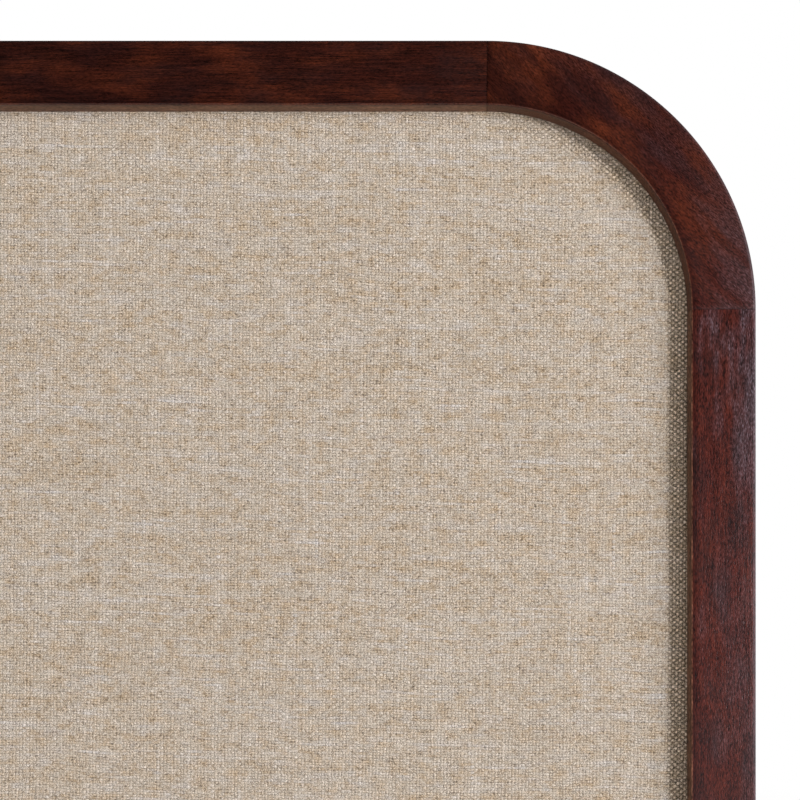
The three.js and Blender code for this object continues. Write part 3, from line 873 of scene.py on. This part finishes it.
def spun(name, outline, steps):
    """A solid of revolution about the board's depth, through (radius, depth) points from pole to pole."""
    vertices = [(0, outline[0][1], 0), (0, outline[-1][1], 0)]
    rings = outline[1:-1]
    for radius, depth in rings:
        for step in range(steps):
            angle = 4 * QUARTER * step / steps
            vertices.append((radius * math.cos(angle), depth, radius * math.sin(angle)))
    faces = []
    for step in range(steps):
        after = (step + 1) % steps
        faces.append((0, 2 + step, 2 + after))
        for ring in range(len(rings) - 1):
            low, high = 2 + ring * steps, 2 + (ring + 1) * steps
            faces.append((low + step, high + step, high + after, low + after))
        last = 2 + (len(rings) - 1) * steps
        faces.append((1, last + after, last + step))
    return mesh_object(name, vertices, faces)


class PINBOARD_OT_points(PinBoardStep):
    """Push the flat steel points into the rabbet over the backing board"""

    bl_idname = "pinboard.points"
    bl_label = "Retaining Points"

    def execute(self, context):
        half, thin, tall = half_of("top_retaining_point_1")
        tip, waist, ease = 4 * MM, 0.7 * MM, 0.1 * MM
        # One edge from the blunt end to the tip, with a shallow notch past the middle
        edge = [(half, -tall), (half, -tall * 0.24), (half - waist, -tall * 0.12)]
        edge += [(half - waist, tall * 0.04), (half, tall * 0.16), (half, tall - tip)]
        outline = [*edge, (0, tall), *[(-x, z) for x, z in reversed(edge)]]
        count = len(outline)
        vertices = [(x, y, z) for y in (-thin, thin) for x, z in outline]
        faces = [tuple(range(count)), tuple(reversed(range(count, 2 * count)))]
        faces += [(first, after, count + after, count + first) for first, after in ring_of_edges(count)]
        point = mesh_object("retaining_point_blank", vertices, faces)
        bevel(point, ease, 50)
        settle(point)
        places = [(middle_of(node), SIDES.index(node.split("_")[0]) * QUARTER) for node in POINTS]
        material = plated_steel("plated_steel_points", context.scene.pin_board_back)
        made = place_copies("retaining_points_steel", point, places, material)
        fit(made, POINTS)
        return {"FINISHED"}


class PINBOARD_OT_hangers(PinBoardStep):
    """Fold the hanger straps and drive their screws"""

    bl_idname = "pinboard.hangers"
    bl_label = "Hanger Straps and Screws"

    def execute(self, context):
        back = context.scene.pin_board_back
        steel = plated_steel("plated_steel_hangers", back)
        places = [(PIVOTS[f"{name}_ring"], 0 if "upright" in name else -QUARTER) for name in HANGERS]
        strap = place_copies("hanger_straps_steel", self.strap(back), places, steel)
        fit(strap, [f"{name}_strap" for name in HANGERS])
        nodes = [f"{name}_screw" for name in HANGERS]
        # Each screw stopped a little further round than the last
        further = 0.4
        turns = [turn + further * index for index, (_, turn) in enumerate(places)]
        heads = [(side_middle(node, 1), turn) for node, turn in zip(nodes, turns)]
        screws = place_copies("hanger_screws_steel", self.screw(), heads, steel)
        fit(screws, nodes)
        return {"FINISHED"}

    def strap(self, back):
        """A strip folded round the ring's bar, which lies at the origin, with both layers below it."""
        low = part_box("upright_right_strap")[0]
        pivot = PIVOTS["upright_right_ring"]
        half = half_of("upright_right_strap").x
        length = pivot.z - low.z
        sheet = back.sheet
        slit, slope, ease = 0.1 * MM, 1.5 * MM, 0.12 * MM
        bend = pivot.y - low.y - sheet / 2
        upper = sheet + slit - bend
        landing = bend + sheet / 2 + slope
        lean = math.asin(bend / (bend + slope))
        end_steps, flat_steps, fold_steps, columns = 10, 12, 24, 8
        rounded = [length - half + half * math.cos(QUARTER * step / end_steps) for step in range(end_steps)]
        under = [(down, -bend) for down in rounded]
        under += [((length - half) * (1 - step / flat_steps), -bend) for step in range(flat_steps)]
        fold = arc_points((0, 0), bend, -QUARTER, -3 * QUARTER - lean, fold_steps)
        flat = length - half - landing
        over = [(landing + flat * step / flat_steps, upper) for step in range(flat_steps)]
        over += [(down, upper) for down in reversed(rounded)]
        least = 0.02 * half
        vertices, faces = [], []
        for down, out in under + fold + over:
            # The free ends are round: the strip narrows along a half circle where it stops
            left = max(length - down, least)
            width = half if left >= half else math.sqrt(half**2 - (half - left) ** 2)
            vertices += [(width * (2 * column / columns - 1), out, -down) for column in range(columns + 1)]
        for row in range(len(vertices) // (columns + 1) - 1):
            for column in range(columns):
                first = row * (columns + 1) + column
                faces.append((first, first + 1, first + columns + 2, first + columns + 1))
        strap = mesh_object("strap_blank", vertices, faces)
        add_modifier(strap, "SOLIDIFY", thickness=sheet, offset=0.0, use_even_offset=True)
        reach, hole_radius = 3 * MM, 2 * MM
        hole = spun("strap_hole", [(0, -reach), (hole_radius, -reach), (hole_radius, reach), (0, reach)], 24)
        hole.data.transform(Matrix.Translation((0, 0, middle_of("upright_right_screw").z - pivot.z)))
        add_modifier(strap, "BOOLEAN", object=hole, operation="DIFFERENCE", solver="EXACT")
        bevel(strap, ease, 50)
        settle(strap)
        drop(hole)
        return strap

    def screw(self):
        """A pan-head screw whose head tops out at the origin, with a cross recess."""
        radius, half_length, _ = half_of("upright_right_screw")
        head, rim, shank, taper = 2 * MM, 0.6 * MM, 1.6 * MM, 4 * MM
        dome = arc_points((0, rim - head), radius, 0, QUARTER, 6, (head - rim) / radius)
        point = -2 * half_length
        outline = [(0, point), (shank, point + taper), (shank, -head), (radius, -head), *dome[:-1], (0, 0)]
        screw = spun("screw_blank", outline, 32)
        wide, thin, deep, proud = 1.8 * MM, 0.42 * MM, 1.2 * MM, 0.5 * MM
        blades = []
        ends = ((-deep, 0.55), (proud, 1.15))
        loops = [[(x * wide * flare, y, z * thin * flare) for x, z in SQUARE] for y, flare in ends]
        for turn in (0, QUARTER):
            blade = skin("recess_blade", loops, closed=True)
            blade.data.transform(Matrix.Rotation(turn, 4, "Y"))
            blades.append(settle(blade))
            add_modifier(screw, "BOOLEAN", object=blade, operation="DIFFERENCE", solver="EXACT")
        settle(screw, math.radians(30))
        drop(*blades)
        return screw


def ring_tree():
    """Round wire bent along a closed outline."""
    t = GeometryTree("Wire Ring", {"Wire Radius": "Float", "Spacing": "Float", "Sides": "Int"})
    path = t.add("GeometryNodeMeshToCurve", {0: t.inputs["Geometry"]})[0]
    even = {"Curve": path, "Length": t.inputs["Spacing"]}
    smooth = t.add("GeometryNodeResampleCurve", even, mode="LENGTH")[0]
    wire = {"Resolution": t.inputs["Sides"], "Radius": t.inputs["Wire Radius"]}
    profile = t.add("GeometryNodeCurvePrimitiveCircle", wire, mode="RADIUS")["Curve"]
    return t.close(t.add("GeometryNodeCurveToMesh", {"Curve": smooth, "Profile Curve": profile})[0])


class PINBOARD_OT_rings(PinBoardStep):
    """Bend the D-rings and hang each one in its strap"""

    bl_idname = "pinboard.rings"
    bl_label = "Hanger Rings"

    def execute(self, context):
        back = context.scene.pin_board_back
        tree = ring_tree()
        low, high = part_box("upright_right_ring")
        pivot = PIVOTS["upright_right_ring"]
        half = half_of("upright_right_ring").x - back.wire
        drop_z, drop_y = pivot.z - low.z - back.wire, high.y - back.wire - pivot.y
        bend = math.hypot(drop_z, drop_y) - half
        tilt = math.atan2(drop_y, drop_z)
        corner, corner_steps, bow_steps = 2 * MM, 8, 40
        outline = arc_points((half - corner, -corner), corner, QUARTER, 0, corner_steps)
        outline += arc_points((0, -bend), half, 0, -2 * QUARTER, bow_steps)
        outline += arc_points((corner - half, -corner), corner, 2 * QUARTER, QUARTER, corner_steps)
        edges = ring_of_edges(len(outline))
        for name in HANGERS:
            ring = mesh_object(f"{name}_ring_wire", [(x, 0, z) for x, z in outline], edges=edges)
            facing = Matrix.Rotation(0 if "upright" in name else -QUARTER, 4, "Y")
            place = Matrix.Translation(PIVOTS[f"{name}_ring"]) @ facing @ Matrix.Rotation(tilt, 4, "X")
            ring.data.transform(place)
            steel = plated_steel(f"plated_steel_{name}_ring", back)
            values = {"Wire Radius": back.wire, "Spacing": 0.5 * MM, "Sides": 16, "Material": steel}
            settle(tree.grow(ring, **values))
            fit(ring, [f"{name}_ring"], body=f"{name}_ring")
        return {"FINISHED"}


class PINBOARD_OT_bumpers(PinBoardStep):
    """Stick the wall bumpers on the corner blocks"""

    bl_idname = "pinboard.bumpers"
    bl_label = "Wall Bumpers"

    def execute(self, context):
        radius, half_height, _ = half_of("top_right_bumper")
        rim, tip, ease = 1.2 * MM, 2.9 * MM, 0.25 * MM
        shoulder = radius - tip
        top = 2 * half_height
        dome = arc_points((tip, rim), shoulder, 0, QUARTER, 10, (top - rim) / shoulder)
        bumper = spun("bumper_blank", [(0, 0), (radius - ease, 0), (radius, ease), *dome, (0, top)], 40)
        nodes = [f"{corner}_bumper" for corner in CORNERS]
        places = [(side_middle(node, -1), 0) for node in nodes]
        rubber = moulded_rubber("moulded_rubber", context.scene.pin_board_back)
        fit(place_copies("wall_bumpers_rubber", bumper, places, rubber), nodes)
        return {"FINISHED"}


class PINBOARD_OT_stage(PinBoardStep):
    """Set the camera, lamps, floor and background"""

    bl_idname = "pinboard.stage"
    bl_label = "Stage"

    def execute(self, context):
        scene = context.scene
        stage = scene.pin_board_stage
        scene.view_settings.view_transform = "Standard"
        self.camera(scene, stage)
        self.lamps(scene, stage)
        self.room(scene, stage)
        self.floor()
        return {"FINISHED"}

    def camera(self, scene, stage):
        data = bpy.data.cameras.new("photo_camera")
        camera = bpy.data.objects.new("photo_camera", data)
        scene.collection.objects.link(camera)
        x, z = MIDDLE.x + stage.view_x + stage.aim, MIDDLE.z + stage.view_z - stage.aim
        camera.location = (x, LOW.y - stage.distance, z)
        camera.rotation_euler = (QUARTER, 0, 0)
        data.lens = data.sensor_width * stage.distance / stage.view_width
        data.shift_x = -stage.aim / stage.view_width
        data.shift_y = stage.aim / stage.view_width
        data.clip_start = 10 * MM
        scene.camera = camera

    def lamp(self, scene, name, place, target, width, height, level):
        """A lamp that lights a white card at the target to the given level when the card faces it."""
        data = bpy.data.lights.new(name, "AREA")
        data.shape = "RECTANGLE"
        data.size, data.size_y = width, height
        ray = target - place
        data.energy = level * math.pi**2 * ray.length_squared
        lamp = bpy.data.objects.new(name, data)
        scene.collection.objects.link(lamp)
        lamp.location = place
        lamp.rotation_euler = ray.to_track_quat("-Z", "Y").to_euler()

    def lamps(self, scene, stage):
        target = Vector((MIDDLE.x + stage.view_x, LOW.y, MIDDLE.z + stage.view_z))
        for name, angles in LAMPS.items():
            side, rise, wide, high = (math.radians(angle) for angle in angles)
            flat = math.cos(rise)
            towards = Vector((math.sin(side) * flat, -math.cos(side) * flat, math.sin(rise)))
            width, height = (2 * LAMP_DISTANCE * math.tan(angle / 2) for angle in (wide, high))
            level = getattr(stage, f"{name}_level") / -towards.y
            self.lamp(scene, f"{name}_lamp", target + towards * LAMP_DISTANCE, target, width, height, level)
        place = MIDDLE + Vector(BACK_LAMP["place"])
        self.lamp(scene, "back_lamp", place, MIDDLE, BACK_LAMP["size"], BACK_LAMP["size"], BACK_LAMP["level"])

    def room(self, scene, stage):
        """White to the camera. Glossy surfaces see white behind the board and a dimmer room before it."""
        world = bpy.data.worlds.new("studio")
        world.use_nodes = True
        scene.world = world
        t = Tree(world.node_tree)
        output = world.node_tree.nodes["World Output"]
        ray = t.add("ShaderNodeLightPath")
        direction = t.add("ShaderNodeSeparateXYZ", {0: t.add("ShaderNodeTexCoord")["Generated"]})
        behind = (direction["Y"] * 0.5 + direction["X"] * 0.8).between(0.15, 0.7)
        gloss = 0.02 + behind * (0.85 - direction["Z"].between(0.05, 0.55) * 0.7)
        seen = ray["Is Camera Ray"].most(ray["Is Transmission Ray"])
        soft = (1 - ray["Is Glossy Ray"]) * stage.room_level + ray["Is Glossy Ray"] * gloss
        level = seen + (1 - seen) * soft
        white = t.add("ShaderNodeBackground", {"Color": (1, 1, 1, 1), "Strength": level})[0]
        t.join(white, output.inputs["Surface"])

    def floor(self):
        """A pale floor that fades to the white of the background and keeps the board's shadow."""
        half, below = 4.0, 2 * MM
        z = cad_box[0][2] - below
        corners = [(x * half, y * half, z) for x, y in SQUARE]
        floor = mesh_object("floor", corners, [(0, 1, 2, 3)])
        pale = Surface("pale_floor")
        pale.finish((0.9, 0.9, 0.9, 1), 0.8)
        away = pale.add("ShaderNodeVectorMath", {0: pale.place}, operation="LENGTH")["Value"]
        white = pale.add("ShaderNodeEmission", {"Color": (1, 1, 1, 1), "Strength": 1.0})[0]
        lit = Wire(pale, pale.shader.outputs["BSDF"])
        blend = pale.add("ShaderNodeMixShader", {0: away.between(0.7, 1.6), 1: lit, 2: white})[0]
        pale.join(blend, pale.nodes["Material Output"].inputs["Surface"])
        dress(floor, pale.material)


class PINBOARD_PT_panel(Panel):
    """Steps and settings of the pin board"""

    bl_idname = "PINBOARD_PT_panel"
    bl_label = "Pin Board"
    bl_space_type = "VIEW_3D"
    bl_region_type = "UI"
    bl_category = "Pin Board"

    def draw(self, context):
        for step in STEPS:
            self.layout.operator(step.bl_idname)
        for name in SETTINGS:
            group = getattr(context.scene, name)
            box = self.layout.box()
            for prop in group.bl_rna.properties:
                if prop.identifier not in ("rna_type", "name"):
                    box.prop(group, prop.identifier)


STEPS = (
    PINBOARD_OT_stage,
    PINBOARD_OT_frame,
    PINBOARD_OT_linen,
    PINBOARD_OT_backing,
    PINBOARD_OT_points,
    PINBOARD_OT_hangers,
    PINBOARD_OT_rings,
    PINBOARD_OT_bumpers,
)
SETTINGS = {
    "pin_board_wood": WoodSettings,
    "pin_board_linen": LinenSettings,
    "pin_board_back": BackSettings,
    "pin_board_stage": StageSettings,
}


def register():
    for name, group in SETTINGS.items():
        bpy.utils.register_class(group)
        setattr(bpy.types.Scene, name, PointerProperty(type=group))
    for step in (*STEPS, PINBOARD_PT_panel):
        bpy.utils.register_class(step)


def unregister():
    for step in (PINBOARD_PT_panel, *reversed(STEPS)):
        bpy.utils.unregister_class(step)
    for name, group in SETTINGS.items():
        delattr(bpy.types.Scene, name)
        bpy.utils.unregister_class(group)


def main():
    register()
    for step in STEPS:
        group, name = step.bl_idname.split(".")
        getattr(getattr(bpy.ops, group), name)()


if __name__ == "__main__":
    main()
